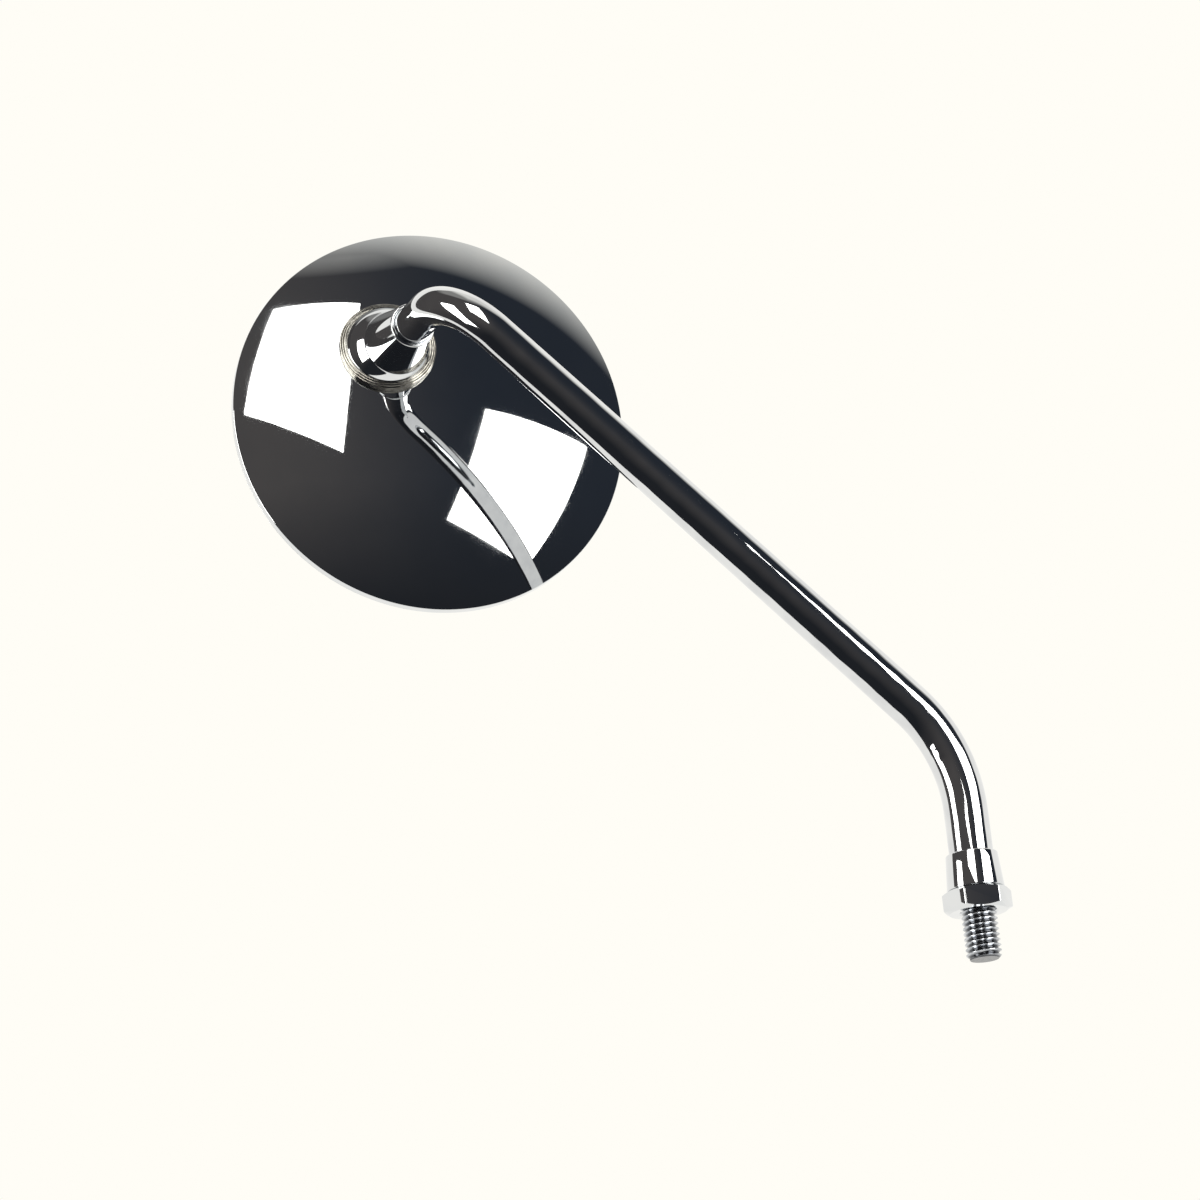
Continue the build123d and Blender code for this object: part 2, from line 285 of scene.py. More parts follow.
# The same plate on drawn tube: long shallow waves bend the reflections a little, and the haze is stronger.
TUBE_CHROME = Finish("chrome_plate_on_drawn_tube", Slot.CHROME, "D9DBDD", 1.0, 0.03,
                     Mottle(9.0, "D0D2D5", 0.07), Relief(Pattern.UNEVEN, 10.0, 0.25))
# Thin plate on a rolled ring: a little warmer and duller, with tool rings drawn wide enough to show.
RING_CHROME = Finish("thin_chrome_on_rolled_ring", Slot.CHROME, "B1AFA8", 1.0, 0.07,
                     Mottle(2.5, "8B8882", 0.16), Relief(Pattern.TURNED, 0.4, 0.008))
# Bright plate on cut thread: pale crests, with painted shade darkening the thread's roots.
STUD_PLATE = Finish("bright_plate_on_cut_thread", Slot.ZINC, "C9CCD0", 1.0, 0.14,
                    Mottle(1.2, "A4A8AE", 0.26), root_shade=RootShade("505256", 4.1, 4.7))
# Zinc plate on pressings: pale grey with a cloudy soft sheen and a fine grit drawn coarse enough to show.
ZINC = Finish("bright_zinc_plate", Slot.ZINC, "BFC3C6", 1.0, 0.30, Mottle(2.5, "A7ADB3", 0.42),
              Relief(Pattern.UNEVEN, 0.5, 0.008))
# Oiled spring steel: dark grey with wet and dry patches.
SPRING = Finish("oiled_spring_steel", Slot.SPRING, "6A6C70", 1.0, 0.42, Mottle(3.0, "4E5054", 0.26),
                Relief(Pattern.UNEVEN, 0.4, 0.006))
# Silver behind float glass: a near perfect reflection, faintly drawn out, with the glass's gloss on top.
MIRROR = Finish("silvered_float_glass", Slot.MIRROR, "E9EEEC", 1.0, 0.0, Mottle(18.0, "E4EAE8", 0.012),
                Relief(Pattern.UNEVEN, 45.0, 0.002), coat=1.0)
# Moulded rubber: black and dull, with a pale bloom and a fine mould grain.
RUBBER = Finish("moulded_black_rubber", Slot.RUBBER, "1A1A1B", 0.0, 0.58, Mottle(4.0, "2B2B2C", 0.72),
                Relief(Pattern.UNEVEN, 0.4, 0.03), ior=1.52)
# Natural nylon: warm white and waxy, slightly yellowed in patches.
NYLON = Finish("natural_nylon", Slot.NYLON, "E4DFD0", 0.0, 0.38, Mottle(5.0, "D8D0BA", 0.5),
               Relief(Pattern.UNEVEN, 0.6, 0.02), ior=1.53)
# Turned brass: yellow metal with tool rings and browner tarnish.
BRASS = Finish("turned_brass", Slot.BRASS, "D2AD5A", 1.0, 0.20, Mottle(3.0, "B38E45", 0.34),
               Relief(Pattern.TURNED, 0.3, 0.008))


def arc(centre: Point, radius: float, start: float, end: float, count: int) -> list[Point]:
    """Points along an arc of an outline.

    Args:
        centre: the arc's centre as radius and height.
        radius: the arc's radius.
        start: first angle in degrees, from the radius axis toward the height axis.
        end: last angle in degrees.
        count: number of spaces between the points.

    Returns:
        The points as radius and height.
    """
    angles = [math.radians(start + (end - start) * k / count) for k in range(count + 1)]
    return [(centre[0] + radius * math.cos(a), centre[1] + radius * math.sin(a)) for a in angles]


def soften(corners: list[Corner], spaces: int = 5) -> list[Point]:
    """Round the corners of a closed outline.

    Args:
        corners: radius, height and rounding of each corner.
        spaces: number of spaces along each rounding.

    Returns:
        The outline as radius and height.
    """
    points: list[Point] = []
    for k, (r, h, size) in enumerate(corners):
        here = Vector((r, h))
        if size <= 0:
            points.append((r, h))
            continue
        back = (Vector(corners[k - 1][:2]) - here).normalized()
        ahead = (Vector(corners[(k + 1) % len(corners)][:2]) - here).normalized()
        half = back.angle(ahead) / 2
        reach = size / math.tan(half)
        middle = here + (back + ahead).normalized() * (size / math.sin(half))
        first, last = here + back * reach - middle, here + ahead * reach - middle
        turn = first.angle_signed(last)
        for step in range(spaces + 1):
            at = first.copy()
            at.rotate(Matrix.Rotation(-turn * step / spaces, 2))
            points.append(tuple(middle + at))
    return points


def turn_outline(points: list[Point], steps: int, closed: bool = True) -> bmesh.types.BMesh:
    """Spin an outline of radius and height once round the Z axis.

    Args:
        points: the outline in millimetres.
        steps: number of steps round the axis.
        closed: whether the last point joins the first.

    Returns:
        The turned mesh, with its faces outward.
    """
    bm = bmesh.new()
    verts = [bm.verts.new((r * MM, 0.0, h * MM)) for r, h in points]
    ends = verts[1:] + (verts[:1] if closed else [])
    edges = [bm.edges.new(pair) for pair in zip(verts, ends)]
    bmesh.ops.spin(bm, geom=verts + edges, cent=(0, 0, 0), axis=(0, 0, 1), angle=2 * math.pi, steps=steps,
                   use_merge=True)
    bmesh.ops.remove_doubles(bm, verts=bm.verts, dist=MERGE)
    bmesh.ops.dissolve_degenerate(bm, edges=bm.edges, dist=SLIVER)
    bmesh.ops.recalc_face_normals(bm, faces=bm.faces)
    return bm


def add_piece(bm: bmesh.types.BMesh, node: str, finish: Finish, body: Body, place: Matrix | None = None,
              sharp: float = 35.0) -> bpy.types.Object:
    """Turn a finished bmesh into a piece of the mirror that stands for its CAD node.

    Args:
        bm: the mesh, which is freed.
        node: CAD node that the piece stands for, which also names it.
        finish: surface finish.
        body: body that the piece moves with.
        place: matrix from the mesh's axes to the row frame.
        sharp: angle in degrees above which an edge stays sharp.

    Returns:
        The piece.
    """
    if place is not None:
        bmesh.ops.transform(bm, matrix=place, verts=bm.verts)
    mesh = bpy.data.meshes.new(node)
    bm.to_mesh(mesh)
    bm.free()
    mesh.shade_smooth()
    mesh.set_sharp_from_angle(angle=math.radians(sharp))
    mesh.materials.append(finish.material())
    piece = bpy.data.objects.new(f"{node}_visual", mesh)
    bpy.context.scene.collection.objects.link(piece)
    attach(piece, body.value)
    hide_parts(node)
    log.info("%s: %d faces on %s, %s", node, len(mesh.polygons), body.value, finish.name)
    return piece


@dataclass
class Stem:
    """Bent tube with its collar, stud and swivel ball, in millimetres."""

    radius_low: float = 6.2
    radius_high: float = 5.5
    tube_end: float = 10.0
    low_corner: float = 47.4
    run_length: float = 191.5
    run_lean: float = 45.0
    low_bend: float = 44.0
    high_bend: float = 20.0
    neck_offset: tuple[float, float, float] = (-3.6, 56.8, 4.1)
    tube_reach: float = 13.2
    tube_sides: int = 128
    low_bend_steps: int = 80
    run_steps: int = 24
    high_bend_steps: int = 64
    collar_low: float = 6.4
    collar_high: float = 16.6
    collar_bore: float = 5.1
    collar_radius_low: float = 8.1
    collar_radius_high: float = 7.3
    collar_round_low: float = 0.4
    collar_round_high: float = 0.5
    thread_radius: float = 5.0
    thread_root: float = 4.1
    thread_pitch: float = 1.5
    thread_soft: float = 0.08
    # Heights within half a pitch where the root ends, the flank starts and ends, and the crest starts.
    thread_heights: tuple[float, ...] = (0.10, 0.21, 0.62, 0.70)
    thread_steps: int = 60
    stud_length: float = 13.2
    stud_top: float = 9.0
    stud_chamfer: float = 1.0
    ball_radius: float = 13.0
    ball_cut: float = 1.5
    ball_cavity: float = 8.5
    cone_radius: float = 9.5
    cone_round: float = 1.5
    lip_radius: float = 6.0
    lip_reach: float = 25.5
    lip_bead: float = 0.6
    # Angle in degrees where the lip's bead leaves the cone.
    bead_start: float = -60.0
    socket_reach: float = 13.0
    ball_rings: int = 40
    bead_rings: int = 14
    cup_rings: int = 24
    turn_steps: int = 160
    # Places of the small dents that bending left on the inner side of the lower bend.
    dents: tuple[Corner, ...] = (
        (-9.5, -3.6, 47.2), (-8.1, -3.9, 45.0), (-7.0, -4.3, 43.0), (-9.0, -2.4, 45.6),
    )
    dent_size: float = 1.1
    dent_depth: float = 0.07

    @property
    def run_way(self) -> Vector:
        """Direction of the long straight run, upward."""
        lean = math.radians(self.run_lean)
        return Vector((-math.sin(lean), 0.0, math.cos(lean)))

    @property
    def high_point(self) -> Vector:
        """Corner that the upper bend rounds."""
        return UP * self.low_corner + self.run_way * self.run_length

    @property
    def ball_centre(self) -> Vector:
        """Centre of the swivel ball."""
        return self.high_point + Vector(self.neck_offset)

    @property
    def neck_way(self) -> Vector:
        """Direction from the ball to the upper corner."""
        return (self.high_point - self.ball_centre).normalized()

    def build(self) -> None:
        """Build and dress every piece of the stem."""
        self.build_tube()
        self.build_collar()
        self.build_stud()
        self.build_ball()

    def build_tube(self) -> None:
        """Drive a ring of edges along the two bends and the tapered run."""
        bm = bmesh.new()
        bmesh.ops.create_circle(bm, segments=self.tube_sides, radius=self.radius_low * MM)
        bmesh.ops.translate(bm, verts=bm.verts, vec=UP * self.tube_end * MM)
        ring: list = list(bm.edges)
        low_reach = self.low_bend * math.tan(math.radians(self.run_lean) / 2)
        ring = self.push(bm, ring, UP * (self.low_corner - low_reach - self.tube_end))
        low_start = UP * (self.low_corner - low_reach)
        ring = self.bend(bm, ring, low_start, UP, self.run_way, self.low_bend, self.low_bend_steps)
        turn = self.run_way.angle(-self.neck_way)
        high_reach = self.high_bend * math.tan(turn / 2)
        straight = self.run_length - low_reach - high_reach
        run_start = UP * self.low_corner + self.run_way * low_reach
        count, taper = self.run_steps, self.radius_high - self.radius_low
        for k in range(count):
            size = [self.radius_low + taper * j / count for j in (k, k + 1)]
            ring = self.push(bm, ring, self.run_way * straight / count)
            middle = run_start + self.run_way * straight * (k + 1) / count
            verts = list({v for e in ring for v in e.verts})
            scale = Matrix.Scale(size[1] / size[0], 4)
            bmesh.ops.transform(bm, matrix=scale, verts=verts, space=Matrix.Translation(-middle * MM))
        run_end = self.high_point - self.run_way * high_reach
        ring = self.bend(bm, ring, run_end, self.run_way, -self.neck_way, self.high_bend,
                         self.high_bend_steps)
        neck_start = self.high_point - self.neck_way * high_reach
        last = self.ball_centre + self.neck_way * self.tube_reach
        self.push(bm, ring, last - neck_start)
        bmesh.ops.holes_fill(bm, edges=bm.edges, sides=0)
        bmesh.ops.recalc_face_normals(bm, faces=bm.faces)
        self.dent(bm)
        add_piece(bm, "stem_tube", TUBE_CHROME, Body.STEM)

    def dent(self, bm: bmesh.types.BMesh) -> None:
        """Press the small dents into the tube.

        Args:
            bm: mesh of the tube, with its normals outward.
        """
        bm.normal_update()
        moves = []
        for vert in bm.verts:
            spread = [(vert.co / MM - Vector(place)).length / self.dent_size for place in self.dents]
            depth = self.dent_depth * sum(math.exp(-far * far) for far in spread)
            moves.append((vert, vert.normal * -depth * MM))
        for vert, move in moves:
            vert.co += move

    def push(self, bm: bmesh.types.BMesh, ring: list, move: Vector) -> list:
        """Extrude a ring of edges straight on.

        Args:
            bm: mesh that holds the ring.
            ring: edges of the ring.
            move: how far and which way.

        Returns:
            Edges of the new ring.
        """
        made = bmesh.ops.extrude_edge_only(bm, edges=ring)["geom"]
        verts = [v for v in made if isinstance(v, bmesh.types.BMVert)]
        bmesh.ops.translate(bm, verts=verts, vec=move * MM)
        return [e for e in made if isinstance(e, bmesh.types.BMEdge)]

    def bend(self, bm: bmesh.types.BMesh, ring: list, start: Vector, way: Vector, onward: Vector,
             radius: float, steps: int) -> list:
        """Spin a ring of edges round a bend.

        Args:
            bm: mesh that holds the ring.
            ring: edges of the ring.
            start: centre of the ring.
            way: direction before the bend.
            onward: direction after the bend.
            radius: radius of the bend at the tube's centre line.
            steps: number of steps round the bend.

        Returns:
            Edges of the ring after the bend.
        """
        inward = (onward - way * onward.dot(way)).normalized()
        made = bmesh.ops.spin(bm, geom=ring + list({v for e in ring for v in e.verts}),
                              cent=(start + inward * radius) * MM, axis=way.cross(onward).normalized(),
                              angle=way.angle(onward), steps=steps)
        return [e for e in made["geom_last"] if isinstance(e, bmesh.types.BMEdge)]

    def build_collar(self) -> None:
        """Turn the tapered collar with rounded edges."""
        low, high = self.collar_low, self.collar_high
        corners = [(self.collar_bore, low, 0.0),
                   (self.collar_radius_low, low, self.collar_round_low),
                   (self.collar_radius_high, high, self.collar_round_high),
                   (self.radius_low + SEAM, high, 0.0)]
        add_piece(turn_outline(soften(corners), self.turn_steps), "stem_collar", CHROME, Body.STEM)

    def build_stud(self) -> None:
        """Screw one pitch of thread up the stud, then cut and chamfer its end."""
        turns = math.ceil((self.stud_length + self.stud_top) / self.thread_pitch) + 2
        crest, root, soft = self.thread_radius - SEAM, self.thread_root, self.thread_soft
        pitch, steps = self.thread_pitch, self.thread_steps
        start = -self.stud_length - pitch
        half = [(root, 0.0), *zip((root, root + soft, crest - soft, crest), self.thread_heights)]
        one = half + [(r, pitch - h) for r, h in reversed(half)]
        bm = bmesh.new()
        verts = [bm.verts.new((r * MM, 0.0, (start + h) * MM)) for r, h in one]
        edges = [bm.edges.new(pair) for pair in zip(verts, verts[1:])]
        bmesh.ops.spin(bm, geom=verts + edges, cent=(0, 0, 0), axis=(0, 0, 1), angle=2 * math.pi * turns,
                       steps=steps * turns, dvec=(0, 0, pitch / steps * MM))
        bmesh.ops.remove_doubles(bm, verts=bm.verts, dist=WELD)
        for height, way in ((-self.stud_length, -1), (self.stud_top, 1)):
            geom = bm.verts[:] + bm.edges[:] + bm.faces[:]
            cut = bmesh.ops.bisect_plane(bm, geom=geom, dist=MERGE, plane_co=(0, 0, height * MM),
                                         plane_no=(0, 0, way), clear_outer=True)["geom_cut"]
            bmesh.ops.edgeloop_fill(bm, edges=[e for e in cut if isinstance(e, bmesh.types.BMEdge)])
        tip = (self.thread_radius - self.stud_chamfer) * MM
        for vert in bm.verts:
            most = tip + max(vert.co.z + self.stud_length * MM, 0.0)
            size = math.hypot(vert.co.x, vert.co.y)
            if size > most:
                vert.co.x *= most / size
                vert.co.y *= most / size
        bmesh.ops.recalc_face_normals(bm, faces=bm.faces)
        add_piece(bm, "threaded_stud", STUD_PLATE, Body.STEM)

    def build_ball(self) -> None:
        """Turn the half ball, its cone and the lip that takes the tube."""
        first = math.degrees(math.asin(-self.ball_cut / self.ball_radius))
        last = math.degrees(math.acos(self.cone_radius / self.ball_radius))
        ball = arc((0, 0), self.ball_radius, first, last, self.ball_rings)
        bore = self.radius_high + SEAM
        bead = self.lip_bead
        inner = math.degrees(math.acos((bore - self.lip_radius) / bead))
        middle = (self.lip_radius, self.lip_reach - bead)
        edge = arc(middle, bead, self.bead_start, inner, self.bead_rings)
        # The rounding into the cone takes the place of the ball's last rings.
        taken = 4
        cone = soften([(*ball[-taken], 0.0), (*ball[-1], self.cone_round), (*edge[0], 0.0)])
        lip = cone + edge[1:] + [(bore, self.socket_reach)]
        begin = math.degrees(math.asin(-self.ball_cut / self.ball_cavity))
        cup = arc((0, 0), self.ball_cavity, 90, begin, self.cup_rings)
        points = ball[:-taken] + lip + [(0.0, self.socket_reach)]
        bm = turn_outline(points + cup, self.turn_steps)
        place = Place(self.ball_centre, self.neck_way).matrix()
        add_piece(bm, "swivel_ball", CHROME, Body.STEM, place, sharp=25.0)


@dataclass
class LockNut:
    """Hexagon lock nut on the stud, in millimetres."""

    width: float = 17.0
    seat: float = 0.1
    height: float = 6.2
    bore: float = 5.05
    bore_chamfer: float = 0.5
    # Share of the width that stays flat on both faces, and the slope in degrees outside it.
    face_share: float = 0.95
    face_slope: float = 30.0
    # How far the turned disc stands out past the corners before the flats are cut.
    spare: float = 0.05
    corner_round: float = 0.35
    turn: float = -12.0
    turn_steps: int = 240

    def build(self) -> None:
        """Turn a chamfered disc, cut its six flats and round its upright corners."""
        corner = self.width / math.sqrt(3)
        flat = self.width / 2 * self.face_share
        slope = (corner - flat) * math.tan(math.radians(self.face_slope))
        low, high = self.seat, self.seat + self.height
        bore, cut, outer = self.bore, self.bore_chamfer, corner + self.spare
        outline = [(bore, low + cut), (bore + cut, low), (flat, low), (outer, low + slope),
                   (outer, high - slope), (flat, high), (bore + cut, high), (bore, high - cut)]
        bm = turn_outline(outline, self.turn_steps)
        for k in range(6):
            angle = math.radians(self.turn + 30 + 60 * k)
            way = Vector((math.cos(angle), math.sin(angle), 0.0))
            geom = bm.verts[:] + bm.edges[:] + bm.faces[:]
            cut = bmesh.ops.bisect_plane(bm, geom=geom, dist=MERGE, plane_co=way * self.width / 2 * MM,
                                         plane_no=way, clear_outer=True)["geom_cut"]
            bmesh.ops.edgeloop_fill(bm, edges=[e for e in cut if isinstance(e, bmesh.types.BMEdge)])
        bmesh.ops.recalc_face_normals(bm, faces=bm.faces)
        # The six upright corners are the only steep edges that rise by a third of the nut.
        steep, rise = math.radians(40), self.height / 3 * MM
        corners = [e for e in bm.edges if len(e.link_faces) == 2 and e.calc_face_angle() > steep
                   and abs(e.verts[0].co.z - e.verts[1].co.z) > rise]
        bmesh.ops.bevel(bm, geom=corners, offset=self.corner_round * MM, affect="EDGES", segments=4,
                        profile=0.5, material=-1)
        add_piece(bm, "lock_nut", CHROME, Body.NUT, sharp=20.0)


@dataclass
class Head:
    """Bowl, bezel, glass, gasket and swivel ring, in millimetres."""

    ball_centre: Vector
    rim_radius: float = 58.99
    edge_round: float = 0.5
    bowl_radius: float = 126.5199
    bowl_sheet: float = 0.8
    bezel_height: float = 2.0
    bezel_wall: float = 0.5
    bezel_opening: float = 52.6
    bezel_round: float = 0.4
    bezel_lip_round: float = 0.25
    bezel_break: float = 0.1
    bezel_seam_round: float = 0.05
    boss_offset: tuple[float, float] = (-14.3, 17.2)
    boss_height: float = 13.06687
    ball_depth: float = 2.4
    hole_radius: float = 13.67
    # Angle in degrees, from square to the swivel axis, where the turned sheet ends outside the edge.
    sheet_end: float = 50.0
    bowl_rings: int = 90
    lining_rings: int = 40
    edge_rings: int = 8
    glass_radius: float = 53.6
    glass_thickness: float = 1.8
    glass_curve: float = 1200.0
    glass_edge: float = 0.902
    glass_rings: int = 40
    gasket_lip: float = 52.8
    gasket_web: float = 2.4
    gasket_shoulder: float = 0.5
    gasket_back: float = 0.28
    gasket_pinch: float = 0.06
    ring_radius: float = 14.2
    ring_spigot: float = 13.65
    ring_lip: float = 14.7
    ring_top: float = 4.4
    ring_edge: float = 0.1
    ring_bead: float = 0.36
    # How far each bead lies below the first, from the mouth outward and down.
    bead_drops: tuple[float, ...] = (0.0, 0.3, 0.7, 1.34, 1.98)
    # Angles in degrees where the row of beads starts and ends.
    row_start: float = 135.0
    row_end: float = -70.0
    bead_rings: int = 8
    ball_seat: float = 13.05
    seat_foot: float = -2.0
    seat_rings: int = 12
    turn_steps: int = 240
    bezel_steps: int = 288
    ring_steps: int = 192

    @property
    def front(self) -> Place:
        """Middle of the bezel's front, with the axis toward the back of the bowl."""
        shift = Vector((self.boss_offset[0], -self.boss_height, self.boss_offset[1]))
        return Place(self.ball_centre - shift, Vector((0.0, -1.0, 0.0)))

    @property
    def boss(self) -> Place:
        """Ball centre, with the axis square to the bowl's surface."""
        reach = self.bowl_radius - self.ball_depth
        rise = math.sqrt(reach**2 - self.boss_offset[0] ** 2 - self.boss_offset[1] ** 2)
        way = Vector((self.boss_offset[0], -rise, self.boss_offset[1]))
        return Place(self.ball_centre, way.normalized())

    @property
    def bowl_middle(self) -> Vector:
        """Centre of the sphere that the bowl is part of."""
        return self.ball_centre - self.boss.way * (self.bowl_radius - self.ball_depth)

    @property
    def edge_middle(self) -> Point:
        """Radius and height of the middle of the bowl's rounded edge."""
        radius = self.rim_radius - self.edge_round
        return radius, self.bowl_height(self.bowl_radius - self.edge_round, radius)

    @property
    def edge_turn(self) -> float:
        """Angle in degrees that the bowl's rounded edge turns through."""
        return math.degrees(math.acos(self.edge_middle[0] / (self.bowl_radius - self.edge_round)))

    @property
    def sphere_height(self) -> float:
        """Height of the middle of the bowl's sphere above the front."""
        reach = self.bowl_radius - self.ball_depth
        return self.boss_height - math.sqrt(reach**2 - self.boss_offset[0] ** 2 - self.boss_offset[1] ** 2)

    def bowl_height(self, radius: float, distance: float) -> float:
        """Height above the front of a sphere about the bowl's middle, at a distance from the axis."""
        return self.sphere_height + math.sqrt(radius**2 - distance**2)

    def ring_point(self, place: Vector) -> Vector:
        """Nearest point on the middle line of the bowl's rounded edge, in the head's own axes."""
        radius, height = self.edge_middle
        flat = place.xy.normalized() * radius
        return Vector((flat.x, flat.y, height))

    def build(self) -> None:
        """Build and dress every visible piece of the head."""
        self.build_bowl()
        self.build_bezel()
        self.build_glass()
        self.build_gasket()
        self.build_ring()

    def build_bowl(self) -> None:
        """Turn a sheet of the sphere about the swivel axis, cut it near the edge and draw the skirt."""
        inner = self.bowl_radius - self.bowl_sheet
        start = [math.degrees(math.acos(self.hole_radius / r)) for r in (self.bowl_radius, inner)]
        outside = arc((0, 0), self.bowl_radius, start[0], self.sheet_end, self.bowl_rings)
        inside = arc((0, 0), inner, self.sheet_end, start[1], self.lining_rings)
        bm = turn_outline(outside + inside, self.turn_steps)
        place = Place(self.bowl_middle, self.boss.way).matrix()
        bmesh.ops.transform(bm, matrix=self.front.matrix().inverted() @ place, verts=bm.verts)
        rounding = arc(self.edge_middle, self.edge_round, self.edge_turn, 0.0, self.edge_rings)
        geom = bm.verts[:] + bm.edges[:] + bm.faces[:]
        cut = bmesh.ops.bisect_plane(bm, geom=geom, dist=MERGE, plane_co=(0, 0, rounding[0][1] * MM),
                                     plane_no=(0, 0, -1), clear_outer=True)["geom_cut"]
        edges = [e for e in cut if isinstance(e, bmesh.types.BMEdge)]
        between = (rounding[0][0] - self.edge_round) * MM
        outer = [e for e in edges if e.verts[0].co.xy.length > between]
        within = [e for e in edges if e.verts[0].co.xy.length < between]
        seam = self.bezel_wall + SEAM
        skirt = self.rim_radius - self.bowl_sheet
        outer = self.draw(bm, outer, rounding + [(self.rim_radius, seam)])
        within = self.draw(bm, within, [(skirt, self.bowl_height(inner, skirt)), (skirt, seam)])
        bmesh.ops.bridge_loops(bm, edges=outer + within)
        bmesh.ops.transform(bm, matrix=self.front.matrix(), verts=bm.verts)
        bmesh.ops.recalc_face_normals(bm, faces=bm.faces)
        piece = add_piece(bm, "bowl", CHROME, Body.HEAD)
        self.true_normals(piece)

    def draw(self, bm: bmesh.types.BMesh, ring: list, outline: list[Point]) -> list:
        """Extrude a ring about the Z axis along an outline.

        Args:
            bm: mesh that holds the ring.
            ring: edges of the ring.
            outline: radius and height of each new ring.

        Returns:
            Edges of the last ring.
        """
        for radius, height in outline:
            made = bmesh.ops.extrude_edge_only(bm, edges=ring)["geom"]
            ring = [e for e in made if isinstance(e, bmesh.types.BMEdge)]
            for vert in (v for v in made if isinstance(v, bmesh.types.BMVert)):
                vert.co.xy *= radius * MM / vert.co.xy.length
                vert.co.z = height * MM
        return ring

    def true_normals(self, piece: bpy.types.Object) -> None:
        """Give the bowl's outside and its rounded edge their exact normals, so reflections stay straight.

        Args:
            piece: the bowl.
        """
        mesh = piece.data
        back = self.front.matrix().inverted()
        middle = Vector((0.0, 0.0, self.sphere_height))
        normals = [Vector()] * len(mesh.loops)
        for face in mesh.polygons:
            places = [back @ mesh.vertices[v].co / MM for v in face.vertices]
            out = [p - middle for p in places]
            if any(abs(o.length - self.bowl_radius) > ON_FACE for o in out):
                out = [p - self.ring_point(p) for p in places]
                if any(abs(o.length - self.edge_round) > ON_FACE for o in out):
                    continue
            for loop, o in zip(face.loop_indices, out):
                normals[loop] = (self.front.matrix().to_3x3() @ o).normalized()
        mesh.normals_split_custom_set(normals)

    def build_bezel(self) -> None:
        """Turn the thin ring that is pressed into the skirt and laps over the gasket."""
        r, opening = self.rim_radius, self.bezel_opening
        wall, high, off = self.bezel_wall, self.bezel_height, self.bezel_break
        outer = r - self.bowl_sheet - SEAM
        corners = [(r, wall, self.bezel_seam_round), (outer, wall, 0.0), (outer, high, off),
                   (outer - wall, high, off), (outer - wall, wall, 0.0), (opening, wall, off),
                   (opening, 0.0, self.bezel_lip_round), (r, 0.0, self.bezel_round)]
        bm = turn_outline(soften(corners, spaces=6), self.bezel_steps)
        add_piece(bm, "rim_bezel", CHROME, Body.HEAD, self.front.matrix())

    def build_glass(self) -> None:
        """Turn the slightly convex glass."""
        r, curve = self.glass_radius, self.glass_curve
        centre = self.glass_edge + math.sqrt(curve**2 - r**2)
        reaches = [k * r / self.glass_rings for k in range(self.glass_rings + 1)]
        face = [(q, centre - math.sqrt(curve**2 - q**2)) for q in reaches]
        back = [(q, h + self.glass_thickness) for q, h in reversed(face)]
        bm = turn_outline(face + back, self.turn_steps, closed=False)
        add_piece(bm, "mirror_glass", MIRROR, Body.HEAD, self.front.matrix())

    def build_gasket(self) -> None:
        """Turn the rubber ring with a channel for the glass."""
        lip, low, high = self.gasket_lip, self.bezel_wall + SEAM, self.bezel_height
        outer = self.rim_radius - self.bowl_sheet - self.bezel_wall - 2 * SEAM
        inside = self.glass_radius + SEAM
        under = self.glass_edge - self.gasket_pinch
        over = self.glass_edge + self.glass_thickness + SEAM
        back = over + self.gasket_back
        points = [(lip, low), (outer, low), (outer, high), (self.glass_radius + self.gasket_web, high),
                  (inside + self.gasket_shoulder, back), (lip, back), (lip, over),
                  (inside, over), (inside, under), (lip, under)]
        bm = turn_outline(points, self.turn_steps)
        add_piece(bm, "glass_gasket", RUBBER, Body.HEAD, self.front.matrix())

    def build_ring(self) -> None:
        """Turn the bead ring with a stepped crown round the ball."""
        inner = self.bowl_radius - self.bowl_sheet
        drop = self.ball_depth - self.bowl_radius
        spigot, lip = self.ring_spigot, self.ring_lip
        under = drop + math.sqrt(self.bowl_radius**2 - spigot**2) + SEAM
        lip_top = drop + math.sqrt(inner**2 - lip**2) - SEAM
        low = drop + math.sqrt(inner**2 - spigot**2) - SEAM
        seat_top = self.ring_top - self.ring_edge
        mouth = math.sqrt(self.ball_seat**2 - seat_top**2)
        seat_end = math.degrees(math.asin(seat_top / self.ball_seat))
        seat = arc((0, 0), self.ball_seat, self.seat_foot, seat_end, self.seat_rings)
        bead = self.ring_bead
        first, side = mouth + bead, self.ring_radius - bead
        reaches = (first, (first + side) / 2, side, side, side)
        middles = [(r, self.ring_top - bead - d) for r, d in zip(reaches, self.bead_drops)]
        foot = [(spigot, under), (spigot, low), (lip, lip_top), (lip, 0.0)]
        bm = turn_outline(seat + self.bead_row(middles, bead) + foot, self.ring_steps)
        finish = replace(RING_CHROME, axis=self.boss)
        add_piece(bm, "socket_ring", finish, Body.HEAD, self.boss.matrix(), sharp=50.0)

    def bead_row(self, middles: list[Point], radius: float) -> list[Point]:
        """Outline over a row of round beads that meet in grooves.

        Args:
            middles: middle of each bead, from the mouth outward and down.
            radius: radius of a bead.

        Returns:
            The outline as radius and height.
        """
        points: list[Point] = []
        start = self.row_start
        for k, here in enumerate(middles):
            end = following = self.row_end
            if k + 1 < len(middles):
                step = Vector(middles[k + 1]) - Vector(here)
                way = math.degrees(math.atan2(step.y, step.x))
                half = math.degrees(math.acos(step.length / 2 / radius))
                end, following = way + half, way + 180 - half
            points += arc(here, radius, start, end, self.bead_rings)
            start = following
        return points


